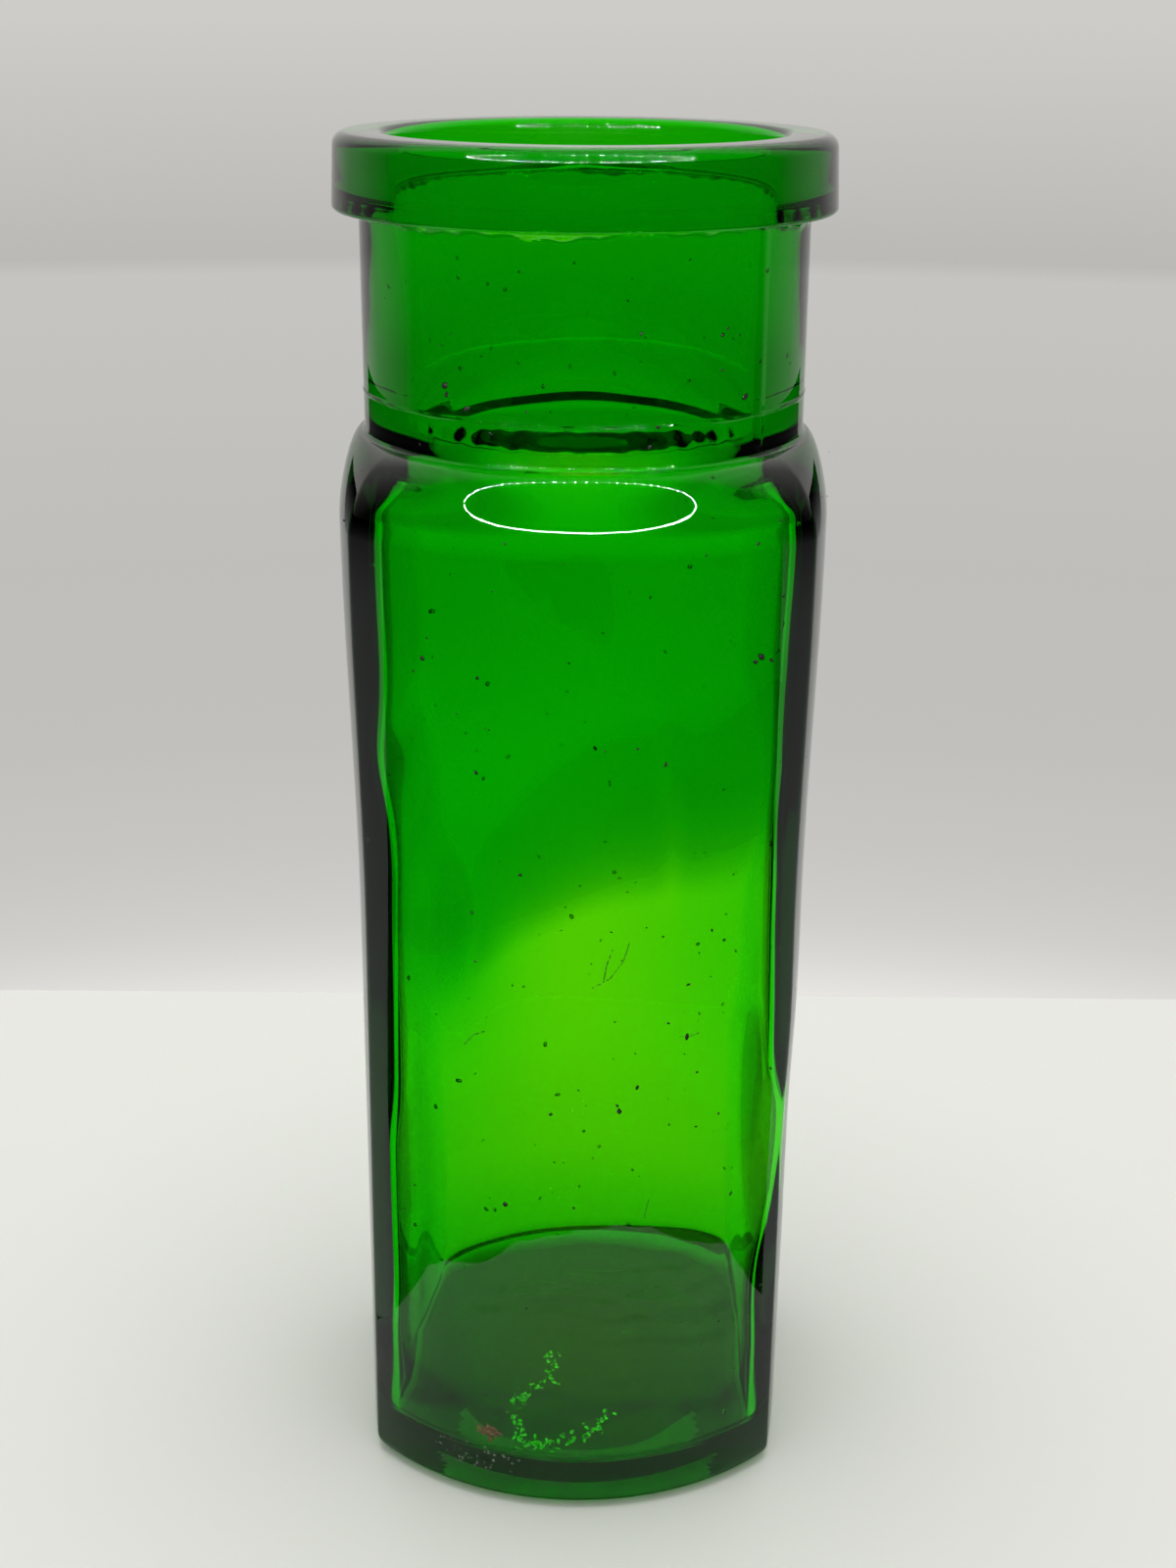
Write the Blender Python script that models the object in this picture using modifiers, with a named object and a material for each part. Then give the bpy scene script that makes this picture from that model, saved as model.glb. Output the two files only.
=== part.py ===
"""A square mould-blown glass jar with a round neck and an applied lip.

Metres, +Z up. The origin is the middle of the footprint, and the jar stands on z = 0.
The front panel faces -Y.
"""
import math

import bmesh
import bpy

# Heights
JAR_HEIGHT = 0.1780
NECK_HEIGHT = 0.0360
SHOULDER_HEIGHT = 0.0095
COLLAR_HEIGHT = 0.0091

# Body panels: four bowed faces, flatter at the sides than at the front and back
BODY_WIDTH = 0.0596
BODY_DEPTH = 0.0630
FRONT_BOW_RADIUS = 0.0380
SIDE_BOW_RADIUS = 0.1100
CORNER_SHARPNESS = 40.0
SHOULDER_SWELL = 0.0009
SWELL_START_HEIGHT = 0.0800
SHOULDER_FULLNESS = 1.6

# Base
HEEL_RADIUS = 0.0026
BASE_THICKNESS = 0.0055
BASE_KICK = 0.0014
BEARING_WIDTH = 0.0070

# Hollow
LOWER_WALL = 0.0038
UPPER_WALL = 0.0046
INNER_CORNER_SHARPNESS = 24.0
INNER_HEEL_RADIUS = 0.0050
NECK_WALL = 0.00365
MOUTH_EDGE_RADIUS = 0.0008

# Neck, which stands in from the side panels, and the applied lip, which stands out from the neck
SHOULDER_STEP = 0.00215
NECK_END_STEP = 0.0008
COLLAR_PROUD = 0.00295
COLLAR_FLARE = 0.0003
COLLAR_EDGE_RADIUS = 0.0016
COLLAR_FOOT_RADIUS = 0.0006
LIP_GAP = 0.0003

# Fineness of the meshes
SECTION_STEPS = 80
WALL_LEVELS = 9
CURVE_LEVELS = 6
KICK_LEVELS = 2
COLLAR_EDGE_LEVELS = 4
COLLAR_FOOT_LEVELS = 2
COLLAR_STEPS = 80
MERGE_DISTANCE = 0.00005
SHARP_EDGE_DEGREES = 40.0

GLASS_COLOUR = (0.004, 0.150, 0.006, 1.0)
GLASS_ROUGHNESS = 0.05

NECK_BASE = JAR_HEIGHT - NECK_HEIGHT
SHOULDER_BASE = NECK_BASE - SHOULDER_HEIGHT
COLLAR_BASE = JAR_HEIGHT - COLLAR_HEIGHT
NECK_RADIUS = BODY_WIDTH / 2 - SHOULDER_STEP
BORE_RADIUS = NECK_RADIUS - NECK_WALL
NECK_END_RADIUS = NECK_RADIUS - NECK_END_STEP
COLLAR_RADIUS = NECK_RADIUS + COLLAR_PROUD


def ease(share):
    """A smooth step from 0 to 1."""
    share = min(max(share, 0.0), 1.0)
    return share * share * (3.0 - 2.0 * share)


def reach_to_bow(angle, facing, half_span, bow_radius):
    """How far a ray at angle runs from the axis to the bowed face that looks towards facing."""
    offset = half_span - bow_radius
    turn = angle - facing
    return offset * math.cos(turn) + math.sqrt(bow_radius ** 2 - (offset * math.sin(turn)) ** 2)


def body_reach(angle, grow, sharpness):
    """Radius of the square section at an angle, with every face moved out by grow."""
    faces = (
        (0.0, BODY_WIDTH / 2, SIDE_BOW_RADIUS),
        (math.pi / 2, BODY_DEPTH / 2, FRONT_BOW_RADIUS),
        (math.pi, BODY_WIDTH / 2, SIDE_BOW_RADIUS),
        (-math.pi / 2, BODY_DEPTH / 2, FRONT_BOW_RADIUS),
    )
    total = 0.0
    for facing, half_span, bow_radius in faces:
        reach = reach_to_bow(angle, facing, half_span + grow, bow_radius + grow)
        total += reach ** -sharpness
    return total ** (-1.0 / sharpness)


def swell(height):
    """How far the panels stand out towards the shoulder."""
    return SHOULDER_SWELL * ease((height - SWELL_START_HEIGHT) / (SHOULDER_BASE - SWELL_START_HEIGHT))


def wall(height):
    """Thickness of the blown wall, which grows towards the shoulder."""
    share = ease((height - BASE_THICKNESS) / (SHOULDER_BASE - BASE_THICKNESS))
    return LOWER_WALL + (UPPER_WALL - LOWER_WALL) * share


def heel_inset(above, radius):
    """How far a rounded heel draws a wall in, at a height above its lowest point."""
    drop = min(max(1.0 - above / radius, 0.0), 1.0)
    return radius * (1.0 - math.sqrt(1.0 - drop ** 2))


def outer_reach(angle, height):
    """Radius of the outside at an angle and a height."""
    body = body_reach(angle, swell(height), CORNER_SHARPNESS) - heel_inset(height, HEEL_RADIUS)
    if height <= SHOULDER_BASE:
        return body
    rise = min((height - SHOULDER_BASE) / SHOULDER_HEIGHT, 1.0)
    share = (1.0 - rise ** SHOULDER_FULLNESS) ** (1.0 / SHOULDER_FULLNESS)
    return NECK_RADIUS + (body - NECK_RADIUS) * share


def inner_reach(angle, height):
    """Radius of the hollow at an angle and a height."""
    body = body_reach(angle, swell(height) - wall(height), INNER_CORNER_SHARPNESS)
    body -= heel_inset(height - BASE_THICKNESS, INNER_HEEL_RADIUS)
    share = ease((NECK_BASE - height) / SHOULDER_HEIGHT)
    return BORE_RADIUS + (body - BORE_RADIUS) * share


def section(reach, height):
    """One ring of points round the axis."""
    ring = []
    for step in range(SECTION_STEPS):
        angle = 2.0 * math.pi * step / SECTION_STEPS
        radius = reach(angle)
        ring.append((radius * math.cos(angle), radius * math.sin(angle), height))
    return ring


def spread(start, end, count):
    """Evenly spaced values after start, up to and with end."""
    return [start + (end - start) * (step + 1) / count for step in range(count)]


def quarter_turn(count):
    """Angles after 0, up to and with a right angle."""
    return spread(0.0, math.pi / 2, count)


def underside_sections():
    """The shallow kick in the base and the flat ring that the jar stands on, from the middle outwards."""
    def bearing_inside(angle):
        return outer_reach(angle, 0.0) - BEARING_WIDTH

    sections = []
    for step in range(KICK_LEVELS):
        share = (step + 1) / (KICK_LEVELS + 1)
        height = BASE_KICK * (1.0 - share ** 2)
        sections.append(section(lambda angle: share * bearing_inside(angle), height))
    sections.append(section(bearing_inside, 0.0))
    sections.append(section(lambda angle: outer_reach(angle, 0.0), 0.0))
    return sections


def outside_sections():
    """Heel, panels, shoulder and neck, from the bottom up."""
    heights = [HEEL_RADIUS * (1.0 - math.cos(turn)) for turn in quarter_turn(CURVE_LEVELS // 2)]
    heights += spread(HEEL_RADIUS, SHOULDER_BASE, WALL_LEVELS)
    heights += [SHOULDER_BASE + SHOULDER_HEIGHT * math.sin(turn) for turn in quarter_turn(CURVE_LEVELS)]
    sections = [section(lambda angle: outer_reach(angle, height), height) for height in heights]
    seat = COLLAR_BASE - LIP_GAP
    sections.append(section(lambda angle: NECK_RADIUS, seat))
    sections.append(section(lambda angle: NECK_END_RADIUS, seat))
    sections.append(section(lambda angle: NECK_END_RADIUS, JAR_HEIGHT))
    return sections


def mouth_sections():
    """The rounded edge of the mouth, from the rim into the bore."""
    sections = []
    for turn in [0.0] + quarter_turn(CURVE_LEVELS // 2):
        radius = BORE_RADIUS + MOUTH_EDGE_RADIUS * (1.0 - math.sin(turn))
        height = JAR_HEIGHT - MOUTH_EDGE_RADIUS * (1.0 - math.cos(turn))
        sections.append(section(lambda angle: radius, height))
    return sections


def hollow_sections():
    """Bore, shoulder, panels and floor of the hollow, from the top down."""
    floor_curve = BASE_THICKNESS + INNER_HEEL_RADIUS
    heights = [NECK_BASE]
    heights += spread(NECK_BASE, SHOULDER_BASE, CURVE_LEVELS)
    heights += spread(SHOULDER_BASE, floor_curve, WALL_LEVELS)
    heights += [floor_curve - INNER_HEEL_RADIUS * math.sin(turn) for turn in quarter_turn(CURVE_LEVELS // 2)]
    return [section(lambda angle: inner_reach(angle, height), height) for height in heights]


def loft(name, sections, first_centre, last_centre):
    """A closed mesh through rings of equal count, with a fan on its first and last ring."""
    mesh = bpy.data.meshes.new(name)
    surface = bmesh.new()
    rings = [[surface.verts.new(point) for point in points] for points in sections]
    for lower, upper in zip(rings, rings[1:]):
        for index in range(len(lower)):
            after = (index + 1) % len(lower)
            surface.faces.new((lower[index], lower[after], upper[after], upper[index]))
    start = surface.verts.new(first_centre)
    finish = surface.verts.new(last_centre)
    for index in range(len(rings[0])):
        after = (index + 1) % len(rings[0])
        surface.faces.new((start, rings[0][after], rings[0][index]))
        surface.faces.new((finish, rings[-1][index], rings[-1][after]))
    bmesh.ops.recalc_face_normals(surface, faces=surface.faces)
    surface.to_mesh(mesh)
    surface.free()
    return mesh


def glass(name):
    """Deep green glass."""
    material = bpy.data.materials.new(name)
    material.use_nodes = True
    shader = material.node_tree.nodes["Principled BSDF"]
    shader.inputs["Base Color"].default_value = GLASS_COLOUR
    shader.inputs["Roughness"].default_value = GLASS_ROUGHNESS
    shader.inputs["Metallic"].default_value = 0.0
    return material


def smooth_shade(mesh):
    """Shades round faces smooth and keeps the true edges."""
    mesh.shade_smooth()
    mesh.set_sharp_from_angle(angle=math.radians(SHARP_EDGE_DEGREES))


def add_jar_body(collection):
    """The blown vessel: base, panels, shoulder and neck with its hollow."""
    sections = underside_sections() + outside_sections() + mouth_sections() + hollow_sections()
    mesh = loft("jar_body", sections, (0.0, 0.0, BASE_KICK), (0.0, 0.0, BASE_THICKNESS))
    smooth_shade(mesh)
    mesh.materials.append(glass("body_glass"))
    body = bpy.data.objects.new("jar_body", mesh)
    collection.objects.link(body)
    return body


def arc(centre_radius, centre_height, radius, start_turn, end_turn, count):
    """Points of an arc in the profile plane, both ends included."""
    turns = [start_turn] + spread(start_turn, end_turn, count)
    return [(centre_radius + radius * math.cos(turn), centre_height + radius * math.sin(turn)) for turn in turns]


def add_lip_collar(collection):
    """The ring laid round the end of the neck, as a turned profile."""
    inner_radius = NECK_END_RADIUS + LIP_GAP
    foot_radius = COLLAR_RADIUS + COLLAR_FLARE
    profile = [(inner_radius, JAR_HEIGHT)]
    profile += arc(COLLAR_RADIUS - COLLAR_EDGE_RADIUS, JAR_HEIGHT - COLLAR_EDGE_RADIUS, COLLAR_EDGE_RADIUS,
                   math.pi / 2, 0.0, COLLAR_EDGE_LEVELS)
    profile += arc(foot_radius - COLLAR_FOOT_RADIUS, COLLAR_BASE + COLLAR_FOOT_RADIUS, COLLAR_FOOT_RADIUS,
                   0.0, -math.pi / 2, COLLAR_FOOT_LEVELS)
    profile.append((inner_radius, COLLAR_BASE))

    mesh = bpy.data.meshes.new("lip_collar")
    points = [(radius, 0.0, height) for radius, height in profile]
    edges = [(index, (index + 1) % len(points)) for index in range(len(points))]
    mesh.from_pydata(points, edges, [])
    collar = bpy.data.objects.new("lip_collar", mesh)
    collection.objects.link(collar)

    turn = collar.modifiers.new("Turn", "SCREW")
    turn.axis = "Z"
    turn.angle = 2.0 * math.pi
    turn.steps = COLLAR_STEPS
    turn.render_steps = COLLAR_STEPS
    turn.use_merge_vertices = True
    turn.merge_threshold = MERGE_DISTANCE
    turn.use_smooth_shade = True
    collar.data.materials.append(glass("lip_glass"))
    return collar


def clear_scene():
    """Removes every object that is in the scene."""
    for item in list(bpy.data.objects):
        bpy.data.objects.remove(item, do_unlink=True)


def main():
    clear_scene()
    collection = bpy.data.collections.new("square_glass_jar")
    bpy.context.scene.collection.children.link(collection)
    add_jar_body(collection)
    add_lip_collar(collection)


main()
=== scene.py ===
"""The looks of a square jar of green blown glass: one fused vessel with its flaws, in a pale light tent.

Metres, +Z up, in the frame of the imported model. The front panel faces -Y.
"""
import math
import random

import bmesh
import bpy
import numpy as np
from mathutils import Matrix, Vector


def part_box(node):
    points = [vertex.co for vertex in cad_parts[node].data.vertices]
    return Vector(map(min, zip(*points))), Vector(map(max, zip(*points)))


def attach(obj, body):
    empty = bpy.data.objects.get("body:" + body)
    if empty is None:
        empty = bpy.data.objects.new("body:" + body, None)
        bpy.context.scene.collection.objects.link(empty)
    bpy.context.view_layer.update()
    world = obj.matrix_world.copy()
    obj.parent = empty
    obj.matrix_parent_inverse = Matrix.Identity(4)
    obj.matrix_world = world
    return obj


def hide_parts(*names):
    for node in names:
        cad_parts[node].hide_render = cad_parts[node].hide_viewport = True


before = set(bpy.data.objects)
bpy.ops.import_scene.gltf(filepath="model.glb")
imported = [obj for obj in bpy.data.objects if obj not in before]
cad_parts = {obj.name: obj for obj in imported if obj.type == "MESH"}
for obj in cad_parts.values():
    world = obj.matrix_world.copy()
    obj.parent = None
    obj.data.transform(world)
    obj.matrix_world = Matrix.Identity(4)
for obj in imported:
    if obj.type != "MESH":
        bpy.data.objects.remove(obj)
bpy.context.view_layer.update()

body_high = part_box("jar_body")[1]
lip_low, lip_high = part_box("lip_collar")

# Angle of the middle of the front panel
FRONT = -math.pi / 2

# Outside of the vessel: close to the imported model, with its own corners, side faces, crease and push-up
JAR_HEIGHT = body_high.z
COLLAR_BASE = lip_low.z
FOOT_RADIUS = lip_high.x
SHOULDER_SWELL = 0.0009
SIDE_SWELL = 0.0011
SWELL_START_HEIGHT = 0.0800
HALF_WIDTH = body_high.x - SHOULDER_SWELL
HALF_DEPTH = body_high.y - SHOULDER_SWELL
FRONT_BOW_RADIUS = 0.0380
SIDE_BOW_RADIUS = 0.1100
SIDE_BOW_RADIUS_TOP = 0.0720
CORNER_RADIUS = 0.0012
RIGHT_DRAW = ((0.000, 0.0012), (0.030, 0.0008), (0.052, 0.00065), (0.068, 0.0))
DRAW_BLUR = 0.003
NECK_RADIUS = 0.02765
NECK_BASE = 0.1420
SHOULDER_HEIGHT = 0.0095
SHOULDER_BASE = NECK_BASE - SHOULDER_HEIGHT
SHOULDER_FULLNESS = 1.6
CREASE_RADIUS = 0.0006
HEEL_RADIUS = 0.0026
PUSH_UP_RADIUS = 0.0245
PUSH_UP_WALL = 0.0100
PUSH_UP_HEIGHT = 0.0008
PUSH_UP_CENTRE = 0.0014
INNERMOST_RADIUS = 0.001
COLLAR_FLARE = 0.0003
COLLAR_EDGE_RADIUS = 0.0016
COLLAR_FOOT_RADIUS = 0.0006
LIP_STEP = 0.0002
LIP_UNDERSIDE_INSET = 0.0006

# Hollow: floor and corners
FLOOR_HEIGHT = 0.0052
FLOOR_DOME = 0.0012
FLOOR_WAVE = 0.00025
FLOOR_WAVE_REACH = 0.3
FLOOR_RIPPLE = 0.00015
FLOOR_RIPPLE_RUN = 0.0009
FLOOR_RIPPLE_LEFT = 0.4
FLOOR_RIPPLE_GROWTH = 0.020
RIPPLE_BEND = 1.6
RIPPLE_BEND_RUN = 0.0062
RIPPLE_FINE_BEND = 0.7
RIPPLE_FINE_BEND_RUN = 0.0023
FLOOR_CENTRE_SHARE = 0.04
FLOOR_LIFT_BACK = 0.0020
FLOOR_LIFT_RIGHT = 0.0030
FLOOR_LIFT_ANGLE = math.radians(38)
FLOOR_LIFT_SPREAD = math.radians(26)
INNER_HEEL_RADIUS = 0.0026
REAR_HEEL_RADIUS = 0.0012
INNER_CORNER_RADIUS = 0.0050
REAR_CORNER_RADIUS = 0.0040
REAR_CORNER_TOP = 0.045
REAR_CORNER_RUN = 0.030
REAR_BLEND = 0.3
INNER_SIDE_BOW_RADIUS = 0.60
SIDE_MATCH = 0.0172

# Hollow: bore, and how it flares to the panels below the neck
RIM_BORE_RADIUS = 0.0243
WAIST_BORE_RADIUS = 0.0224
WAIST_HEIGHT = 0.150
MOUTH_EDGE_RADIUS = 0.0012
SUDDEN_SHARE = 0.85
FLARE_TOP = 0.1464
FLARE_HEIGHT = 0.0026
FLARE_MARGIN = 0.001
FLARE_RAGGED = 0.00010
FLARE_SPREAD = math.radians(30)
CORNER_FLARE_TOP = 0.1412
CORNER_FLARE_RUN = 0.0075
BACK_FLARE_TOP = 0.1470
BACK_FLARE_RUN = 0.0160
BACK_FLARE_SPREAD = math.radians(55)

# Blown walls: thickness of the broad panels
THICK_PANEL = 0.0047
THIN_FRONT = 0.0018
THIN_BACK = 0.0014
CORNER_EXTRA_LEFT = 0.0010
CORNER_EXTRA_RIGHT = 0.0002
CORNER_EXTRA_BACK = 0.0003
CORNER_EXTRA_AT = 0.0240
CORNER_EXTRA_BEND = 0.0080
FRONT_EDGE_HEIGHT = 0.0970
BACK_EDGE_HEIGHT = 0.0740
EDGE_SLANT = 0.38
BACK_EDGE_SLANT = 0.8 * EDGE_SLANT
EDGE_WAVE = 0.0016
EDGE_WAVE_RUN = 0.0045
FRONT_FALL = 0.0250
BACK_FALL = 0.0280
FOOT_EXTRA = 0.0012
FOOT_EXTRA_TOP = 0.022
FOOT_EXTRA_RUN = 0.016
WALL_WANDER = 0.00015

# Soft lumps in a broad panel: depth, place across, half width, height, half height
FRONT_LUMP = (0.0013, -0.0185, 0.0060, 0.085, 0.013)
FRONT_GROOVE = (-0.0006, 0.0110, 0.0014, 0.103, 0.012)
BACK_LUMP = (0.0013, -0.0235, 0.0070, 0.064, 0.013)

# Blown walls: thickness of the side panels by height
WALL_BLUR = 0.0017
LEFT_WALL = (
    (0.020, 0.0036), (0.028, 0.0040), (0.040, 0.0038), (0.050, 0.0037), (0.057, 0.0044), (0.068, 0.0046),
    (0.080, 0.0049), (0.090, 0.0055), (0.096, 0.0053), (0.101, 0.0044), (0.105, 0.0042), (0.110, 0.0048),
    (0.115, 0.0052), (0.130, 0.0051),
)
RIGHT_WALL = (
    (0.020, 0.0044), (0.026, 0.0047), (0.032, 0.0045), (0.037, 0.0034), (0.040, 0.0027), (0.044, 0.0023),
    (0.048, 0.0019), (0.054, 0.0016), (0.057, 0.0018), (0.060, 0.0028), (0.064, 0.0032), (0.080, 0.0035),
    (0.090, 0.0036), (0.097, 0.0041), (0.104, 0.0043), (0.110, 0.0048), (0.120, 0.0048), (0.130, 0.0044),
)
REAR_SIDE_WALL = 0.0045
REAR_SIDE_SPREAD = 0.5
REAR_SIDE_TOP = 0.075
REAR_SIDE_RUN = 0.030

# Mould marks, and the bead under the lip
SEAM_HEIGHT = 0.1472
SEAM_PROUD = 0.00014
SEAM_WIDTH = 0.00016
SEAM_TILT = 0.00012
SEAM_JITTER = 0.00004
SEAM_ZONE = 5 * SEAM_WIDTH
SIDE_SEAM_ANGLES = (math.radians(-41), math.radians(139))
SIDE_SEAM_PROUD = 0.00022
SIDE_SEAM_SPREAD = 0.009
BEAD_DROP = 0.0013
BEAD_PROUD = 0.0008
BEAD_ZONE = 0.003

# Fineness of the mesh: points in a ring, and rings in each part
STEPS = 256
FINE_STEPS = 14401
CORNER_WEIGHT = 0.45
SIDE_SEAM_WEIGHT = 0.000006
SIDE_SEAM_ZONE = 0.011
TYPICAL_WALLS = (0.0045, 0.0042)
PUSH_UP_RINGS = 12
STANDING_RINGS = 4
HEEL_RINGS = 12
PANEL_RINGS = 26
SHOULDER_RINGS = 26
CREASE_RINGS = 6
NECK_FOOT_RINGS = 5
SEAM_RINGS = 16
NECK_RINGS = 12
BEAD_RINGS = 14
LIP_FOOT_RINGS = 6
LIP_SIDE_RINGS = 6
LIP_EDGE_RINGS = 12
MOUTH_RINGS = 9
BORE_RINGS = 22
FLARE_RINGS = 26
INNER_SHOULDER_RINGS = 20
INNER_PANEL_RINGS = 66
FLOOR_RISE_RINGS = 6
INNER_HEEL_RINGS = 14
FLOOR_RINGS = 40

# Heights and reach that rounded lines are worked out on
LINE_HEIGHTS = np.linspace(-0.02, 0.20, 881)
LINE_REACH = np.linspace(-0.01, 0.01, 81)


def ease(share):
    """A smooth step from 0 to 1."""
    share = np.clip(share, 0.0, 1.0)
    return share * share * (3.0 - 2.0 * share)


def hump(offset, width):
    """A bell of height 1."""
    return np.exp(-((offset / width) ** 2))


def turn_between(angle, centre):
    """The angle from centre to angle, within half a turn either way."""
    return (angle - centre + math.pi) % (2 * math.pi) - math.pi


def spread(start, end, count):
    """Evenly spaced values after start, up to and with end."""
    return [start + (end - start) * (step + 1) / count for step in range(count)]


def quarter_turn(count):
    """Evenly spaced angles after 0, up to and with a right angle."""
    return spread(0.0, math.pi / 2, count)


def wander(angle, height, seed):
    """A slow unevenness between about -1 and 1."""
    phase = 1.7 * seed
    total = 0.45 * np.sin(2 * angle + 41 * height + phase)
    total = total + 0.35 * np.sin(3 * angle - 67 * height + 2.1 * phase)
    total = total + 0.25 * np.sin(5 * angle + 103 * height + 3.3 * phase)
    return total + 0.2 * np.sin(angle + 151 * height + 0.7 * phase)


def smooth_line(points, blur):
    """A rounded line through (height, value) points, as a function of the height."""
    places, values = zip(*points)
    line = np.interp(LINE_HEIGHTS, places, values)
    pull = hump(LINE_REACH, blur * math.sqrt(2))
    padded = np.pad(line, len(LINE_REACH) // 2, mode="edge")
    line = np.convolve(padded, pull / pull.sum(), mode="valid")
    return lambda height: np.interp(height, LINE_HEIGHTS, line)


right_draw = smooth_line(RIGHT_DRAW, DRAW_BLUR)
left_wall = smooth_line(LEFT_WALL, WALL_BLUR)
right_wall = smooth_line(RIGHT_WALL, WALL_BLUR)


def section_reach(angle, front_cut, side_cut, radius, side_radius=SIDE_BOW_RADIUS):
    """Radius of the square section at an angle, with faces cut back and corners rounded."""
    across, along = np.abs(np.cos(angle)), np.abs(np.sin(angle))
    front_bow, side_bow = FRONT_BOW_RADIUS - front_cut, side_radius - side_cut
    front_centre, side_centre = HALF_DEPTH - FRONT_BOW_RADIUS, HALF_WIDTH - side_radius
    gap = math.hypot(front_centre, side_centre)
    near, far = front_bow - radius, side_bow - radius
    run = (near ** 2 - far ** 2 + gap ** 2) / (2 * gap)
    rise = np.sqrt(near ** 2 - run ** 2)
    corner_x = (run * side_centre - rise * front_centre) / gap
    corner_y = front_centre - (run * front_centre + rise * side_centre) / gap
    front_x = corner_x / near * front_bow
    front_y = front_centre + (corner_y - front_centre) / near * front_bow
    side_x = side_centre + (corner_x - side_centre) / far * side_bow
    side_y = corner_y / far * side_bow
    turn = np.arctan2(along, across)
    front = front_centre * along + np.sqrt(front_bow ** 2 - (front_centre * across) ** 2)
    side = side_centre * across + np.sqrt(side_bow ** 2 - (side_centre * along) ** 2)
    offset = corner_x * along - corner_y * across
    arc = corner_x * across + corner_y * along + np.sqrt(np.maximum(radius ** 2 - offset ** 2, 0.0))
    rounded = np.where(turn <= np.arctan2(side_y, side_x), side, arc)
    return np.where(turn >= np.arctan2(front_y, front_x), front, rounded)


def swell_share(height):
    """How far the panels have swollen out towards the shoulder, from 0 to 1."""
    return ease((height - SWELL_START_HEIGHT) / (SHOULDER_BASE - SWELL_START_HEIGHT))


def swell(height):
    """How far the front and back panels stand out at a height."""
    return SHOULDER_SWELL * swell_share(height)


def side_swell(height):
    """How far the side panels stand out at a height."""
    return SIDE_SWELL * swell_share(height)


def draw_in(angle, height):
    """How far the right side face leans in towards the foot."""
    return right_draw(height) * (np.cos(angle) > 0.0)


def side_bow(height):
    """Radius of the side faces' bow, which grows rounder towards the shoulder."""
    share = np.clip(height / SHOULDER_BASE, 0.0, 1.0)
    return 1.0 / (1.0 / SIDE_BOW_RADIUS + (1.0 / SIDE_BOW_RADIUS_TOP - 1.0 / SIDE_BOW_RADIUS) * share)


def heel_inset(above, radius):
    """How far a rounded heel draws a wall in, at a height above its lowest point."""
    drop = np.clip(1.0 - above / radius, 0.0, 1.0)
    return radius * (1.0 - np.sqrt(1.0 - drop ** 2))


def panel_reach(angle, height):
    """Radius of the outside's square section at a height."""
    side_cut = draw_in(angle, height) - side_swell(height)
    return section_reach(angle, -swell(height), side_cut, CORNER_RADIUS, side_bow(height))


def outer_body(angle, height):
    """Radius of the outside of the body, with its rounded heel."""
    return panel_reach(angle, height) - heel_inset(height, HEEL_RADIUS)


def spaced_angles():
    """Angles that lie closer where the sections turn their corners and at the side seams."""
    fine = np.linspace(0.0, 2 * math.pi, FINE_STEPS)
    middle = (fine[1:] + fine[:-1]) / 2
    weight = np.full(middle.shape, 1.0 / len(middle))
    inside = section_reach(fine, *TYPICAL_WALLS, INNER_CORNER_RADIUS)
    for reach in (panel_reach(fine, 0.0), inside):
        dx, dy = np.diff(reach * np.cos(fine)), np.diff(reach * np.sin(fine))
        heading = np.unwrap(np.arctan2(dy, dx))
        bend = np.abs(np.diff(heading, append=heading[0] + 2 * math.pi))
        weight = weight + CORNER_WEIGHT * bend / bend.sum()
    for seam in SIDE_SEAM_ANGLES:
        weight = weight + SIDE_SEAM_WEIGHT * hump(turn_between(middle, seam), SIDE_SEAM_ZONE)
    total = np.concatenate([[0.0], np.cumsum(weight)])
    return np.interp(np.arange(STEPS) / STEPS * total[-1], total, fine)


ANGLES = spaced_angles()


def corner_share(across):
    """A bend from 0 at the middle of a panel to 1 near its corners."""
    far = math.hypot(CORNER_EXTRA_AT, CORNER_EXTRA_BEND) - CORNER_EXTRA_BEND
    return (np.hypot(across, CORNER_EXTRA_BEND) - CORNER_EXTRA_BEND) / far


def panel_wall(thin, height, edge, fall):
    """Thickness of a broad panel: heavy above a slanting edge and thin below it."""
    return thin + (THICK_PANEL - thin) * ease((height - edge) / fall + 0.5)


def lump(across, height, measures):
    """Extra thickness at one of the soft lumps in a broad panel."""
    depth, middle, half_width, level_height, half_height = measures
    return depth * hump(across - middle, half_width) * hump(height - level_height, half_height)


def front_wall(across, height):
    """Thickness of the front panel."""
    extra = np.where(across < 0.0, CORNER_EXTRA_LEFT, CORNER_EXTRA_RIGHT)
    thin = THIN_FRONT + extra * corner_share(across)
    edge = FRONT_EDGE_HEIGHT + EDGE_SLANT * across + EDGE_WAVE * np.sin(across / EDGE_WAVE_RUN + 1.0)
    thick = panel_wall(thin, height, edge, FRONT_FALL)
    return thick + lump(across, height, FRONT_LUMP) + lump(across, height, FRONT_GROOVE)


def back_wall(across, height):
    """Thickness of the back panel."""
    thin = THIN_BACK + CORNER_EXTRA_BACK * corner_share(across)
    thick = panel_wall(thin, height, BACK_EDGE_HEIGHT + BACK_EDGE_SLANT * across, BACK_FALL)
    return thick + lump(across, height, BACK_LUMP)


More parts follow.
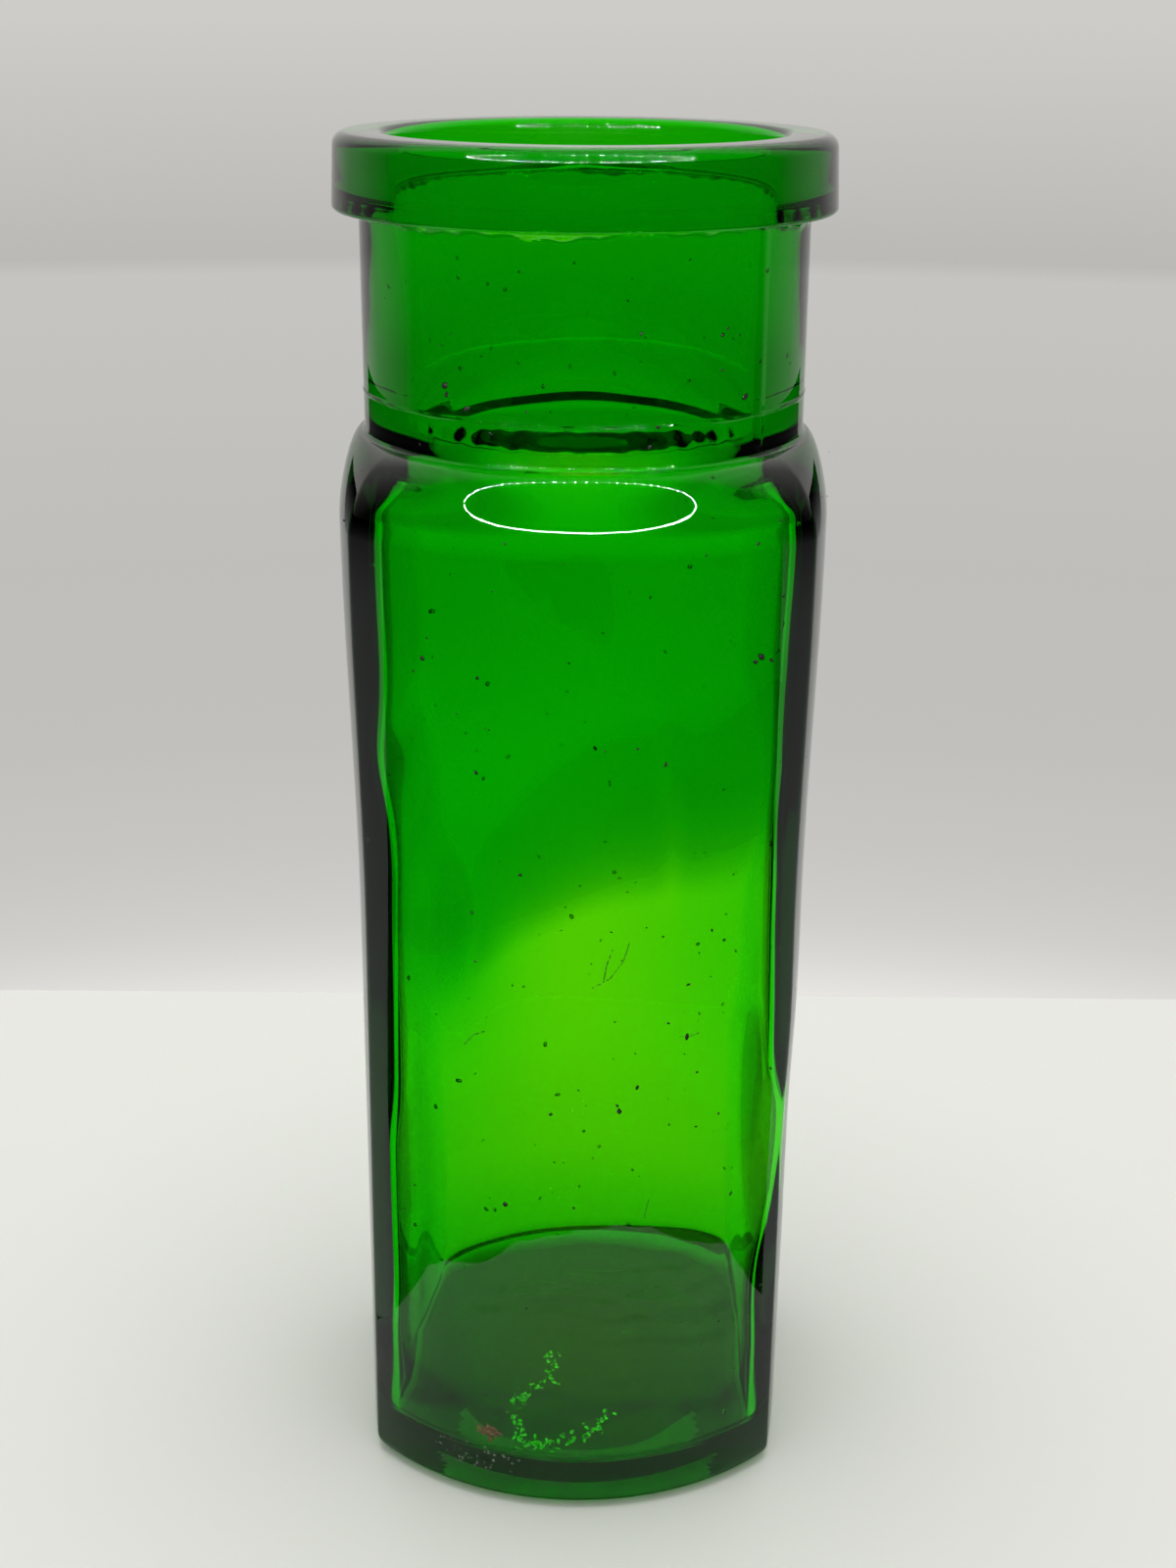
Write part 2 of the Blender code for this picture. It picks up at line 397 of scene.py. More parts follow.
def walls(angle, height):
    """How far the hollow's front or back face and its side faces lie inside the panels."""
    across = HALF_WIDTH * np.cos(angle)
    broad = np.where(np.sin(angle) < 0.0, front_wall(across, height), back_wall(across, height))
    broad = broad + FOOT_EXTRA * ease((FOOT_EXTRA_TOP - height) / FOOT_EXTRA_RUN)
    narrow = np.where(across < 0.0, left_wall(height), right_wall(height))
    rear = ease(np.sin(angle) / REAR_SIDE_SPREAD) * ease((REAR_SIDE_TOP - height) / REAR_SIDE_RUN)
    narrow = narrow + (REAR_SIDE_WALL - narrow) * rear
    return broad + WALL_WANDER * wander(angle, height, 3.0), narrow


def floor_lift(angle):
    """How much higher the hollow's floor meets the walls at the back, and most at the back right."""
    right = hump(turn_between(angle, FLOOR_LIFT_ANGLE), FLOOR_LIFT_SPREAD)
    return FLOOR_LIFT_BACK * ease(np.sin(angle)) + FLOOR_LIFT_RIGHT * right


def floor_edge(angle):
    """Height at which the hollow's floor meets the walls."""
    return FLOOR_HEIGHT + floor_lift(angle)


def floor_bump(share, edge):
    """Unevenness of the hollow's floor: a dome, slow waves, and ripples that grow to the right."""
    x, y = edge * share * np.cos(ANGLES), edge * share * np.sin(ANGLES)
    bent = y / FLOOR_RIPPLE_RUN + RIPPLE_BEND * np.sin(x / RIPPLE_BEND_RUN + 0.4)
    ripple = np.sin(bent + RIPPLE_FINE_BEND * np.sin(x / RIPPLE_FINE_BEND_RUN))
    growth = FLOOR_RIPPLE_LEFT + (1.0 - FLOOR_RIPPLE_LEFT) * ease(x / FLOOR_RIPPLE_GROWTH + 0.4)
    ripple = FLOOR_RIPPLE * ripple * growth * (1.0 - share ** 6)
    slow = FLOOR_WAVE * wander(ANGLES, FLOOR_WAVE_REACH * share, 2.0) * (1.0 - share ** 4) * share
    return FLOOR_DOME * (1.0 - share ** 2) + slow + ripple


def bore(height):
    """Radius of the bore, which narrows from the rim to its waist."""
    share = ease((height - WAIST_HEIGHT) / (JAR_HEIGHT - WAIST_HEIGHT))
    return WAIST_BORE_RADIUS + (RIM_BORE_RADIUS - WAIST_BORE_RADIUS) * share


def hollow_section(angle, height):
    """Radius of the hollow between the panels, as if it didn't narrow to the bore."""
    broad, narrow = walls(angle, height)
    broad, narrow = broad - swell(height), narrow - side_swell(height)
    low = ease((REAR_CORNER_TOP - height) / REAR_CORNER_RUN)
    rear = ease(np.sin(angle) / REAR_BLEND + 0.5)
    corner = INNER_CORNER_RADIUS + (REAR_CORNER_RADIUS - INNER_CORNER_RADIUS) * rear * low
    flatter = (1.0 / side_bow(height) - 1.0 / INNER_SIDE_BOW_RADIUS) * SIDE_MATCH ** 2 / 2
    section = section_reach(angle, broad, narrow + flatter, corner, INNER_SIDE_BOW_RADIUS)
    heel = INNER_HEEL_RADIUS + (REAR_HEEL_RADIUS - INNER_HEEL_RADIUS) * rear
    return section - heel_inset(height - floor_edge(angle), heel)


def flare_share(angle, height):
    """How far the hollow has widened from the bore to the panels: suddenly in front, and gently elsewhere."""
    front = hump(turn_between(angle, FRONT), FLARE_SPREAD)
    back = hump(turn_between(angle, -FRONT), BACK_FLARE_SPREAD)
    ragged = FLARE_TOP + FLARE_RAGGED * (np.sin(37 * angle) + np.sin(61 * angle + 1.3))
    sudden = SUDDEN_SHARE * ease((ragged - height) / FLARE_HEIGHT)
    sudden = sudden + (1.0 - SUDDEN_SHARE) * ease((FLARE_TOP - FLARE_MARGIN - height) / SHOULDER_HEIGHT)
    top = CORNER_FLARE_TOP + (BACK_FLARE_TOP - CORNER_FLARE_TOP) * back
    run = CORNER_FLARE_RUN + (BACK_FLARE_RUN - CORNER_FLARE_RUN) * back
    gentle = ease((top - height) / run)
    return gentle + (sudden - gentle) * front


def inner_reach(angle, height):
    """Radius of the hollow at an angle and a height."""
    return bore(height) + (hollow_section(angle, height) - bore(height)) * flare_share(angle, height)


def seam_share(angle):
    """How the seam round the neck comes and goes, between a half and 1."""
    return 0.75 + 0.25 * np.sin(37 * angle + 5 * np.sin(3 * angle))


def bead_share(angle):
    """How the bead under the lip swells and shrinks, about 0.7."""
    return 0.7 + 0.3 * np.sin(7 * angle + 1.1) * np.sin(3 * angle) + 0.12 * np.sin(41 * angle)


def neck_reach(angle, height):
    """Radius of the outside of the neck, with its seams and the bead of glass under the lip."""
    seam_height = SEAM_HEIGHT + SEAM_TILT * np.sin(2 * angle + 0.8) + SEAM_JITTER * np.sin(23 * angle)
    ridge = SEAM_PROUD * seam_share(angle) * hump(height - seam_height, SEAM_WIDTH)
    for seam in SIDE_SEAM_ANGLES:
        ridge = ridge + SIDE_SEAM_PROUD * hump(turn_between(angle, seam), SIDE_SEAM_SPREAD)
    share = bead_share(angle)
    bead = BEAD_PROUD * share * ease((height - (COLLAR_BASE - BEAD_DROP * share)) / BEAD_DROP)
    return NECK_RADIUS + ridge + bead


def level(radius, height):
    """One ring of points, whose radius or height may change round it."""
    radius = np.broadcast_to(radius, ANGLES.shape)
    height = np.broadcast_to(height, ANGLES.shape)
    return np.stack([radius * np.cos(ANGLES), radius * np.sin(ANGLES), height], axis=-1)


def underside_levels():
    """The round push-up in the base and the flat rim that the jar stands on, from the middle outwards."""
    levels = []
    inner = PUSH_UP_RADIUS - PUSH_UP_WALL
    for radius in np.linspace(INNERMOST_RADIUS, inner, PUSH_UP_RINGS):
        height = PUSH_UP_CENTRE - (PUSH_UP_CENTRE - PUSH_UP_HEIGHT) * (radius / inner) ** 2
        levels.append(level(radius, height))
    for share in spread(0.0, 1.0, PUSH_UP_RINGS):
        levels.append(level(inner + PUSH_UP_WALL * share, PUSH_UP_HEIGHT * (1.0 - ease(share))))
    edge = outer_body(ANGLES, 0.0)
    for share in spread(0.0, 1.0, STANDING_RINGS):
        levels.append(level(PUSH_UP_RADIUS + (edge - PUSH_UP_RADIUS) * share, 0.0))
    return levels


def outside_levels():
    """Heel, panels, shoulder and neck, from the bottom up."""
    heights = [HEEL_RADIUS * (1.0 - math.cos(turn)) for turn in quarter_turn(HEEL_RINGS)]
    heights += spread(HEEL_RADIUS, SHOULDER_BASE, PANEL_RINGS)
    levels = [level(outer_body(ANGLES, height), height) for height in heights]
    top = outer_body(ANGLES, SHOULDER_BASE)
    ledge = NECK_RADIUS + CREASE_RADIUS
    power = 2.0 / SHOULDER_FULLNESS
    for turn in quarter_turn(SHOULDER_RINGS):
        radius = ledge + (top - ledge) * max(math.cos(turn), 0.0) ** power
        height = SHOULDER_BASE + SHOULDER_HEIGHT * math.sin(turn) ** power
        levels.append(level(radius, height))
    for turn in quarter_turn(CREASE_RINGS):
        radius = NECK_RADIUS + CREASE_RADIUS * (1.0 - math.sin(turn))
        height = NECK_BASE + CREASE_RADIUS * (1.0 - math.cos(turn))
        levels.append(level(radius, height))
    below, above = SEAM_HEIGHT - SEAM_ZONE, SEAM_HEIGHT + SEAM_ZONE
    heights = spread(NECK_BASE + CREASE_RADIUS, below, NECK_FOOT_RINGS)
    heights += spread(below, above, SEAM_RINGS)
    heights += spread(above, COLLAR_BASE - BEAD_ZONE, NECK_RINGS)
    heights += spread(COLLAR_BASE - BEAD_ZONE, COLLAR_BASE - LIP_STEP, BEAD_RINGS)
    return levels + [level(neck_reach(ANGLES, height), height) for height in heights]


def lip_levels():
    """The lip's outside, its rounded top and the edge of the mouth."""
    levels = [level(neck_reach(ANGLES, COLLAR_BASE) + LIP_STEP, COLLAR_BASE)]
    foot = FOOT_RADIUS - COLLAR_FOOT_RADIUS
    levels.append(level(foot - LIP_UNDERSIDE_INSET, COLLAR_BASE))
    for turn in [-math.pi / 2] + spread(-math.pi / 2, 0.0, LIP_FOOT_RINGS):
        radius = foot + COLLAR_FOOT_RADIUS * math.cos(turn)
        height = COLLAR_BASE + COLLAR_FOOT_RADIUS * (1.0 + math.sin(turn))
        levels.append(level(radius, height))
    edge = FOOT_RADIUS - COLLAR_FLARE - COLLAR_EDGE_RADIUS
    start, end = COLLAR_BASE + COLLAR_FOOT_RADIUS, JAR_HEIGHT - COLLAR_EDGE_RADIUS
    for share in spread(0.0, 1.0, LIP_SIDE_RINGS):
        levels.append(level(FOOT_RADIUS - COLLAR_FLARE * share, start + (end - start) * share))
    for turn in quarter_turn(LIP_EDGE_RINGS):
        radius = edge + COLLAR_EDGE_RADIUS * math.cos(turn)
        height = end + COLLAR_EDGE_RADIUS * math.sin(turn)
        levels.append(level(radius, height))
    mouth = RIM_BORE_RADIUS + MOUTH_EDGE_RADIUS
    for turn in [0.0] + quarter_turn(MOUTH_RINGS):
        radius = mouth - MOUTH_EDGE_RADIUS * math.sin(turn)
        height = JAR_HEIGHT - MOUTH_EDGE_RADIUS * (1.0 - math.cos(turn))
        levels.append(level(radius, height))
    return levels


def hollow_levels():
    """Bore, shoulder, panels and floor of the hollow, from the top down."""
    flare_start = FLARE_TOP + FLARE_MARGIN
    flare_end = FLARE_TOP - FLARE_HEIGHT - FLARE_MARGIN
    floor_curve = FLOOR_HEIGHT + FLOOR_LIFT_BACK + FLOOR_LIFT_RIGHT + INNER_HEEL_RADIUS
    heights = spread(JAR_HEIGHT - MOUTH_EDGE_RADIUS, flare_start, BORE_RINGS)
    heights += spread(flare_start, flare_end, FLARE_RINGS)
    heights += spread(flare_end, SHOULDER_BASE, INNER_SHOULDER_RINGS)
    heights += spread(SHOULDER_BASE, floor_curve, INNER_PANEL_RINGS)
    lowest = floor_edge(ANGLES)
    rise = lowest + INNER_HEEL_RADIUS - floor_curve
    heights += [floor_curve + rise * share for share in spread(0.0, 1.0, FLOOR_RISE_RINGS)]
    for turn in quarter_turn(INNER_HEEL_RINGS):
        heights.append(lowest + INNER_HEEL_RADIUS * (1.0 - math.sin(turn)))
    levels = [level(inner_reach(ANGLES, height), height) for height in heights]
    edge = inner_reach(ANGLES, lowest)
    for share in np.linspace(1.0, FLOOR_CENTRE_SHARE, FLOOR_RINGS)[1:]:
        height = FLOOR_HEIGHT + floor_bump(share, edge) + floor_lift(ANGLES) * share ** 3
        levels.append(level(edge * share, height))
    return levels


def loft(name, levels, first_centre, last_centre):
    """A closed mesh through rings of equal count, with a fan on its first and last ring."""
    points = np.concatenate(levels + [np.array([first_centre, last_centre])])
    index = np.arange(STEPS)
    after = (index + 1) % STEPS
    faces = []
    for count in range(len(levels) - 1):
        low, high = count * STEPS, (count + 1) * STEPS
        faces += np.stack([low + index, low + after, high + after, high + index], axis=-1).tolist()
    start, finish = len(points) - 2, len(points) - 1
    last = (len(levels) - 1) * STEPS
    faces += [[start, int(b), int(a)] for a, b in zip(index, after)]
    faces += [[finish, int(last + a), int(last + b)] for a, b in zip(index, after)]
    mesh = bpy.data.meshes.new(name)
    mesh.from_pydata(points.tolist(), [], faces)
    mesh.validate()
    mesh.shade_smooth()
    return mesh


def wire(tree, target, value):
    """Sets a socket, or links it to another node's output."""
    if hasattr(value, "is_linked"):
        tree.links.new(value, target)
    else:
        target.default_value = value


def maths(tree, operation, first, second=0.0, third=0.0):
    """The result of one operation on up to three values."""
    node = tree.nodes.new("ShaderNodeMath")
    node.operation = operation
    for socket, value in zip(node.inputs, (first, second, third)):
        wire(tree, socket, value)
    return node.outputs["Value"]


def fade(tree, value, start, end, low=0.0, high=1.0, kind="SMOOTHSTEP"):
    """A step of a value, from low at start to high at end."""
    node = tree.nodes.new("ShaderNodeMapRange")
    node.interpolation_type = kind
    wire(tree, node.inputs["Value"], value)
    for name, number in (("From Min", start), ("From Max", end), ("To Min", low), ("To Max", high)):
        node.inputs[name].default_value = number
    return node.outputs["Result"]


def mixed(tree, factor, first, second, kind="MIX"):
    """Two colours mixed by a factor."""
    node = tree.nodes.new("ShaderNodeMix")
    node.data_type = "RGBA"
    node.blend_type = kind
    wire(tree, node.inputs[0], factor)
    wire(tree, node.inputs[6], first)
    wire(tree, node.inputs[7], second)
    return node.outputs[2]


def scaled(tree, first, second):
    """The product of two colours."""
    return mixed(tree, 1.0, first, second, "MULTIPLY")


def curve(tree, value, points):
    """A value between -1 and 1 led through a line of (value, result) points."""
    ramp = tree.nodes.new("ShaderNodeValToRGB")
    wire(tree, ramp.inputs["Fac"], maths(tree, "MULTIPLY_ADD", value, 0.5, 0.5))
    stops = ramp.color_ramp.elements
    while len(stops) > 1:
        stops.remove(stops[-1])
    for count, (place, grey) in enumerate(points):
        position = place * 0.5 + 0.5
        stop = stops[0] if count == 0 else stops.new(position)
        stop.position = position
        stop.color = (grey, grey, grey, 1.0)
    return ramp.outputs["Color"]


def rippled(tree, shader, scale, depth):
    """Gives a shader a fine unevenness of the surface, and returns its height."""
    coordinates = tree.nodes.new("ShaderNodeTexCoord")
    noise = tree.nodes.new("ShaderNodeTexNoise")
    noise.inputs["Scale"].default_value = scale
    noise.inputs["Detail"].default_value = 1.0
    tree.links.new(coordinates.outputs["Object"], noise.inputs["Vector"])
    bump = tree.nodes.new("ShaderNodeBump")
    bump.inputs["Strength"].default_value = 1.0
    bump.inputs["Distance"].default_value = depth
    tree.links.new(noise.outputs["Fac"], bump.inputs["Height"])
    tree.links.new(bump.outputs["Normal"], shader.inputs["Normal"])
    return noise.outputs["Fac"]


# Glass: how much light each metre takes away, for red, green and blue
ABSORBED = (700.0, 80.0, 2600.0)
GLASS_IOR = 1.52
RIPPLE_SCALE = 90.0
RIPPLE_DEPTH = 0.00005

# Worn and scuffed glass of the underside, the worn glass also darkened as painted shade at the foot: places
# in the vessel's list of materials, and looks
WORN_AND_SHADED, SCUFFED = 1, 2
WORN_ROUGHNESS = 0.65
# The worn glass passes less light: painted shade at the foot, on top of its real roughness
WORN_SHADE_DARKENING = 0.45
SCUFFED_HALF_WIDTH = 0.0168
SCUFFED_RADIUS = 0.0220
SCUFFED_CLEAR = 0.25


def new_material(name):
    """A new material, and the shader that comes with it."""
    material = bpy.data.materials.new(name)
    material.use_nodes = True
    return material, material.node_tree.nodes["Principled BSDF"]


def glowing(name):
    """A material that only glows, and the node that makes it glow."""
    material, _ = new_material(name)
    tree = material.node_tree
    glow = tree.nodes.new("ShaderNodeEmission")
    tree.links.new(glow.outputs["Emission"], tree.nodes["Material Output"].inputs["Surface"])
    return material, glow


def set_glass(shader, clear, roughness):
    """Gives a shader the glass's index, and how clear and how rough it is."""
    shader.inputs["Transmission Weight"].default_value = clear
    shader.inputs["IOR"].default_value = GLASS_IOR
    shader.inputs["Roughness"].default_value = roughness


def green_glass(name, roughness, clear=1.0, passed=1.0):
    """Deep green glass, a little rippled, and dulled where it is worn or scuffed; a passed below 1 darkens it
    as painted shade.
    """
    material, shader = new_material(name)
    nodes, links = material.node_tree.nodes, material.node_tree.links
    rippled(material.node_tree, shader, RIPPLE_SCALE, RIPPLE_DEPTH)
    shader.inputs["Base Color"].default_value = (passed, passed, passed, 1.0)
    set_glass(shader, clear, roughness)
    absorption = nodes.new("ShaderNodeVolumeAbsorption")
    strongest = max(ABSORBED)
    absorption.inputs["Density"].default_value = strongest
    absorption.inputs["Color"].default_value = (*(1.0 - taken / strongest for taken in ABSORBED), 1.0)
    links.new(absorption.outputs["Volume"], nodes["Material Output"].inputs["Volume"])
    return material


def link_object(name, data):
    """A new object in the scene, of a mesh, a light or a camera."""
    made = bpy.data.objects.new(name, data)
    bpy.context.scene.collection.objects.link(made)
    return made


def add_vessel():
    """The whole vessel as one piece of glass, worn and scuffed on its underside, the worn glass darkened as
    painted shade.
    """
    base = underside_levels()
    levels = base + outside_levels() + lip_levels() + hollow_levels()
    mesh = loft("jar_glass", levels, (0.0, 0.0, PUSH_UP_CENTRE), (0.0, 0.0, FLOOR_HEIGHT + FLOOR_DOME))
    mesh.materials.append(green_glass("green_glass", 0.0))
    mesh.materials.append(green_glass("green_glass_worn_and_shaded", WORN_ROUGHNESS, passed=WORN_SHADE_DARKENING))
    mesh.materials.append(green_glass("green_glass_scuffed", WORN_ROUGHNESS, SCUFFED_CLEAR))
    # Underside faces get the scuffed glass or the worn glass, which carries painted shade
    for face in mesh.polygons[:(len(base) - 1) * STEPS]:
        x, y = face.center.xy
        scuffed = abs(x) < SCUFFED_HALF_WIDTH and y < 0.0 and math.hypot(x, y) > SCUFFED_RADIUS
        face.material_index = SCUFFED if scuffed else WORN_AND_SHADED
    middle_of_base = len(mesh.vertices) - 2
    for face in mesh.polygons:
        if face.vertices[0] == middle_of_base:
            face.material_index = WORN_AND_SHADED
    vessel = link_object("jar_glass", mesh)
    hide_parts("jar_body", "lip_collar")
    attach(vessel, "root")


# Flaws: specks, as places across the front from the middle, heights, and half sizes
PITS = (
    (-0.0160, 0.1510, 0.00042), (-0.0158, 0.1500, 0.00030), (-0.0134, 0.1486, 0.00034),
    (-0.0106, 0.1460, 0.00020), (0.0160, 0.1570, 0.00026), (0.0190, 0.1495, 0.00034),
    (0.0087, 0.1470, 0.00028), (0.0078, 0.1448, 0.00030), (0.0136, 0.0705, 0.00030),
    (0.0052, 0.0610, 0.00036), (0.0049, 0.0618, 0.00022), (0.0074, 0.0642, 0.00024),
    (-0.0035, 0.0606, 0.00022), (-0.0094, 0.0468, 0.00036), (-0.0122, 0.1180, 0.00024),
    (-0.0125, 0.1060, 0.00022), (-0.0072, 0.0932, 0.00020), (0.0102, 0.1075, 0.00020),
    (0.0215, 0.1195, 0.00040), (0.0208, 0.1190, 0.00026), (0.0228, 0.1188, 0.00022),
    (-0.0189, 0.1195, 0.00034), (-0.0268, 0.0935, 0.00040), (-0.0280, 0.0938, 0.00022),
    (0.0112, 0.0728, 0.00018), (0.0150, 0.0652, 0.00018), (0.0180, 0.0585, 0.00018),
    (0.0200, 0.0460, 0.00020),
)
PIT_SHRINK = 0.9
LOOSE_PITS = 260
LOOSE_PIT_HEIGHTS = (0.008, 0.160)
LOOSE_PIT_SIZES = (0.00006, 0.00018)

# Flaws: scratches, as lines of places across the front and heights
SCRATCHES = (
    ((0.0015, 0.0783), (0.0038, 0.0796), (0.0054, 0.0818), (0.0062, 0.0845)),
    ((0.0030, 0.0792), (0.0034, 0.0815), (0.0042, 0.0838)),
    ((0.0126, 0.0707), (0.0140, 0.0705), (0.0152, 0.0708)),
    ((0.0086, 0.0452), (0.0091, 0.0478)),
    ((-0.0145, 0.0690), (-0.0133, 0.0706), (-0.0118, 0.0714)),
)
SCRATCH_RADIUS = 0.00007
SCRATCH_SHARES = (0.6, 1.3)
SCRATCH_STEP = 2.2 * SCRATCH_RADIUS
SCRATCH_GAPS = 0.22

# Flaws: air bubbles, rust and residue
SEED_COUNT = 170
SEED_HEIGHTS = (0.010, 0.165)
SEED_SIZES = (0.00010, 0.00030)
SEED_LENGTHS = (1.0, 1.8)
SEED_WALL_SHARE = 0.14
SEED_RIPPLE = (4000.0, 0.00001)
RUST_PLACE = (-0.0120, 0.0109)
RUST_HALF_LENGTH = 0.0012
RUST_HALF_HEIGHT = 0.0006
RUST_SPREADS = (0.55, 0.7)
RUST_COUNT = 70
RUST_SIZES = (0.00010, 0.00034)
RESIDUE_COUNT = 46
RESIDUE_SIDE = (-0.0195, -0.0075)
RESIDUE_HEIGHT = (0.0046, 0.0084)
RESIDUE_SIZES = (0.00005, 0.00019)

# Flaws: length and height of a grain, and how deep it lies, in its half widths
PIT_LENGTHS = (1.0, 1.9)
PIT_PROUD = 0.35
PIT_SINK = 0.25
SCRATCH_GRAIN = (1.0, 0.5, 0.3)
RUST_GRAIN = (1.3, 0.2, 0.15)
RESIDUE_GRAIN = (1.4, 0.3, 0.2)

# Flaws: dark and pale colour of a mottled material, its roughness and the scale of its mottling
PIT_DIRT = ((0.002, 0.005, 0.001, 1.0), (0.008, 0.016, 0.005, 1.0), 0.55, 3000.0)
RUST = ((0.05, 0.036, 0.004, 1.0), (0.19, 0.105, 0.016, 1.0), 0.85, 2500.0)
RESIDUE = ((0.04, 0.075, 0.045, 1.0), (0.14, 0.19, 0.14, 1.0), 0.8, 3000.0)
MOTTLE_DEPTH = 0.00008
MOTTLE_EDGES = (0.35, 0.65)

# Flaws: the fold on the floor of the hollow, whose bright yellow-green, mostly matte colour is painted glints
FOLD_PATH = (
    (-0.0045, -0.0040), (-0.0040, -0.0120), (-0.0080, -0.0150), (-0.0095, -0.0180), (-0.0080, -0.0235),
    (-0.0040, -0.0245), (0.0010, -0.0228), (0.0045, -0.0200),
)
FOLD_BEADS = 190
FOLD_SCATTER = 0.0006
FOLD_SIZES = (0.00006, 0.00024)
FOLD_LENGTH = 1.8
# Bright yellow-green colour on a mostly matte surface: painted glints
FOLD_GLINT_COLOUR = (0.50, 1.0, 0.12, 1.0)
FOLD_CLEAR = 0.15
FOLD_ROUGHNESS = 0.15
FOLD_RIPPLE = (2500.0, 0.00002)

# Flaws: how a lump's place on the skin is found, and how uneven lumps are
ANGLE_TRIES = 12
SMALL_TURN = 0.002
SMALL_RISE = 0.0001
BLOB_UNEVENNESS = 0.16


def outer_reach(angle, height):
    """Radius of the outside of the body or the neck."""
    return float(neck_reach(angle, height) if height > NECK_BASE else outer_body(angle, height))


def skin_point(angle, height):
    """A point on the outside of the vessel."""
    radius = outer_reach(angle, height)
    return Vector((radius * math.cos(angle), radius * math.sin(angle), height))


def skin_place(angle, height):
    """A point on the outside of the vessel, and the outward direction there."""
    middle = skin_point(angle, height)
    along = skin_point(angle + SMALL_TURN, height) - middle
    up = skin_point(angle, height + SMALL_RISE) - middle
    return middle, along.cross(up).normalized()


def front_angle(across, height):
    """The angle at which the outside's front lies at a distance across from the middle."""
    angle = FRONT
    for _ in range(ANGLE_TRIES):
        angle = FRONT + math.asin(max(-1.0, min(1.0, across / outer_reach(angle, height))))
    return angle


def add_blob(blobs, place, outward, radii, chance):
    """A small rounded lump with its short side along outward."""
    turn = outward.to_track_quat("Z", "Y").to_matrix().to_4x4()
    spin = Matrix.Rotation(chance.uniform(0.0, math.pi), 4, "Z")
    size = Matrix.Diagonal((*radii, 1.0))
    matrix = Matrix.Translation(place) @ turn @ spin @ size
    made = bmesh.ops.create_icosphere(blobs, subdivisions=2, radius=1.0, matrix=matrix)
    for vert in made["verts"]:
        vert.co += (vert.co - place) * chance.uniform(-BLOB_UNEVENNESS, BLOB_UNEVENNESS)


def add_grain(blobs, angle, height, size, grain, chance):
    """A lump on the outside of the vessel, whose half width is its size."""
    length, proud, sink = grain
    place, outward = skin_place(angle, height)
    add_blob(blobs, place - outward * size * sink, outward, (size * length, size, size * proud), chance)


def add_piece(name, shape, material):
    """Makes a piece of the jar from a finished bmesh."""
    mesh = bpy.data.meshes.new(name)
    shape.to_mesh(mesh)
    shape.free()
    mesh.shade_smooth()
    mesh.materials.append(material)
    piece = link_object(name, mesh)
    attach(piece, "root")


def mottled(name, dark, pale, roughness, scale):
    """A dull material whose colour wanders between two shades."""
    material, shader = new_material(name)
    tree = material.node_tree
    shader.inputs["Roughness"].default_value = roughness
    share = fade(tree, rippled(tree, shader, scale, MOTTLE_DEPTH), *MOTTLE_EDGES)
    tree.links.new(mixed(tree, share, dark, pale), shader.inputs["Base Color"])
    return material


def add_scratch(blobs, points, chance):
    """A broken line of grains on the front."""
    for (across, height), (next_across, next_height) in zip(points, points[1:]):
        steps = max(2, int(math.hypot(next_across - across, next_height - height) / SCRATCH_STEP))
        for step in range(steps):
            share = step / steps
            if chance.random() < SCRATCH_GAPS:
                continue
            x = across + (next_across - across) * share
            z = height + (next_height - height) * share
            size = SCRATCH_RADIUS * chance.uniform(*SCRATCH_SHARES)
            add_grain(blobs, front_angle(x, z), z, size, SCRATCH_GRAIN, chance)


def add_pits():
    """Dark specks and short scratches in the skin of the glass."""
    chance = random.Random(7)
    blobs = bmesh.new()
    marks = [(front_angle(across, height), height, size) for across, height, size in PITS]
    for _ in range(LOOSE_PITS):
        height = chance.uniform(*LOOSE_PIT_HEIGHTS)
        marks.append((chance.uniform(0.0, 2 * math.pi), height, chance.uniform(*LOOSE_PIT_SIZES)))
    for angle, height, size in marks:
        grain = (chance.uniform(*PIT_LENGTHS), PIT_PROUD, PIT_SINK)
        add_grain(blobs, angle, height, size * PIT_SHRINK, grain, chance)
    for points in SCRATCHES:
        add_scratch(blobs, points, chance)
    add_piece("surface_pits", blobs, mottled("pit_dirt", *PIT_DIRT))


def add_seeds():
    """Tiny air bubbles in the middle of the walls, whose faces look inwards as a hollow's do."""
    chance = random.Random(11)
    blobs = bmesh.new()
    for _ in range(SEED_COUNT):
        angle, height = chance.uniform(0.0, 2 * math.pi), chance.uniform(*SEED_HEIGHTS)
        outer, outward = skin_place(angle, height)
        wall = outer_reach(angle, height) - float(inner_reach(np.array(angle), np.array(height)))
        size = min(chance.uniform(*SEED_SIZES), wall * SEED_WALL_SHARE)
        place = outer - Vector((math.cos(angle), math.sin(angle), 0.0)) * wall * 0.5
        add_blob(blobs, place, outward, (size * chance.uniform(*SEED_LENGTHS), size, size), chance)
    bmesh.ops.reverse_faces(blobs, faces=blobs.faces[:])
    air, shader = new_material("seed_air")
    set_glass(shader, 1.0, 0.0)
    rippled(air.node_tree, shader, *SEED_RIPPLE)
    add_piece("seed_bubbles", blobs, air)


def add_rust():
    """A rust stain low on the outside, at the front left."""
    chance = random.Random(3)
    blobs = bmesh.new()
    across, height = RUST_PLACE
    spread_across, spread_up = RUST_SPREADS
    for _ in range(RUST_COUNT):
        x = across + RUST_HALF_LENGTH * chance.gauss(0.0, spread_across)
        z = height + RUST_HALF_HEIGHT * chance.gauss(0.0, spread_up)
        add_grain(blobs, front_angle(x, z), z, chance.uniform(*RUST_SIZES), RUST_GRAIN, chance)
    add_piece("rust_stain", blobs, mottled("rust", *RUST))


